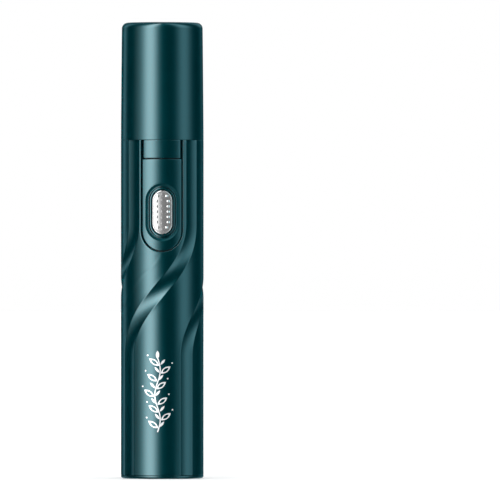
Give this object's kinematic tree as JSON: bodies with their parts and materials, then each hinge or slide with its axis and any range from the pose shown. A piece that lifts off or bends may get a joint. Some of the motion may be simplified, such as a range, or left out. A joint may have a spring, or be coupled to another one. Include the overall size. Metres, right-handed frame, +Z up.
{
  "type": "nose hair trimmer",
  "caption": "Slim cordless trimmer: fluted barrel with a push button, a lock ring and nose cone with a slotted rotary cutter, and a round pull-off cap.",
  "frame": {"origin": "middle of the base, on the surface it stands on", "axes": "+Z up along the barrel towards the cutter, -Y towards the button side, +X to the right seen from the button side"},
  "size_m": [0.0244, 0.0244, 0.135],
  "materials": {
    "teal_paint": "deep teal metallic paint under a gloss clear coat",
    "chrome": "mirror polished",
    "polished_steel": "polished",
    "steel": "plain nickel-plated steel",
    "copper": "plain copper and varnished winding",
    "brass": "plain",
    "dark_plastic": "matte moulded",
    "white_plastic": "matte moulded",
    "rubber": "matte",
    "board_green": "solder mask",
    "cell_wrap": null,
    "magnet_grey": "sintered ferrite",
    "red_wire": "insulated lead",
    "black_wire": "insulated lead"
  },
  "bodies": {
    "handle": {"outer_shell": "teal_paint", "collar": "teal_paint", "neck_seal": "rubber", "switch_panel": "teal_paint", "front_frame": "dark_plastic", "rear_frame": "dark_plastic", "frame_screw_left": "steel", "frame_screw_right": "steel", "battery_cell": "cell_wrap", "battery_terminal": "steel", "positive_contact": "brass", "negative_strip": "brass", "circuit_board": "board_green", "switch_body": "dark_plastic", "battery_lead": "red_wire", "ground_lead": "black_wire", "motor_lead_left": "black_wire", "motor_lead_right": "red_wire", "motor_can": "steel", "motor_end_cap": "white_plastic", "motor_bushing": "brass", "magnet_left": "magnet_grey", "magnet_right": "magnet_grey", "brush_left": "copper", "brush_right": "copper", "terminal_left": "copper", "terminal_right": "copper"},
    "rotor": {"motor_shaft": "steel", "armature": "copper", "commutator": "copper", "drive_hub": "white_plastic"},
    "button": {"button_body": "teal_paint", "button_inlay": "polished_steel", "switch_plunger": "white_plastic"},
    "lock_ring": {"lock_ring": "teal_paint"},
    "head": {"nose_cone": "teal_paint", "cutter_tube": "chrome", "stem_guide": "white_plastic"},
    "blade": {"inner_cutter": "polished_steel", "cutter_stem": "steel", "drive_fork": "white_plastic", "blade_spring": "steel"},
    "cap": {"cap": "teal_paint"},
    "cover": {"battery_cover": "teal_paint", "cover_seal": "rubber", "negative_plate": "steel", "negative_spring": "steel"}
  },
  "joints": [
    {"name": "cap_pull", "type": "slide", "parent": "head", "child": "cap", "axis": [0, 0, 1], "range_m": [0, 0.045]},
    {"name": "ring_twist", "type": "hinge", "parent": "handle", "child": "lock_ring", "pos_m": [0, 0, 0.1059], "axis": [0, 0, 1], "range_deg": [0, 40]},
    {"name": "head_lift", "type": "slide", "parent": "handle", "child": "head", "axis": [0, 0, 1], "range_m": [0, 0.03]},
    {"name": "motor_spin", "type": "hinge", "parent": "handle", "child": "rotor", "pos_m": [0, 0, 0.085], "axis": [0, 0, 1], "continuous": true},
    {"name": "blade_spin", "type": "hinge", "parent": "head", "child": "blade", "pos_m": [0, 0, 0.117], "axis": [0, 0, 1], "continuous": true},
    {"name": "button_press", "type": "slide", "parent": "handle", "child": "button", "axis": [0, 1, 0], "range_m": [0, 0.0006], "stiffness_N_per_m": 2500},
    {"name": "cover_pull", "type": "slide", "parent": "handle", "child": "cover", "axis": [0, 0, -1], "range_m": [0, 0.015]}
  ],
  "couplings": [
    {"joint": "blade_spin", "follows": "motor_spin", "ratio": 1}
  ]
}
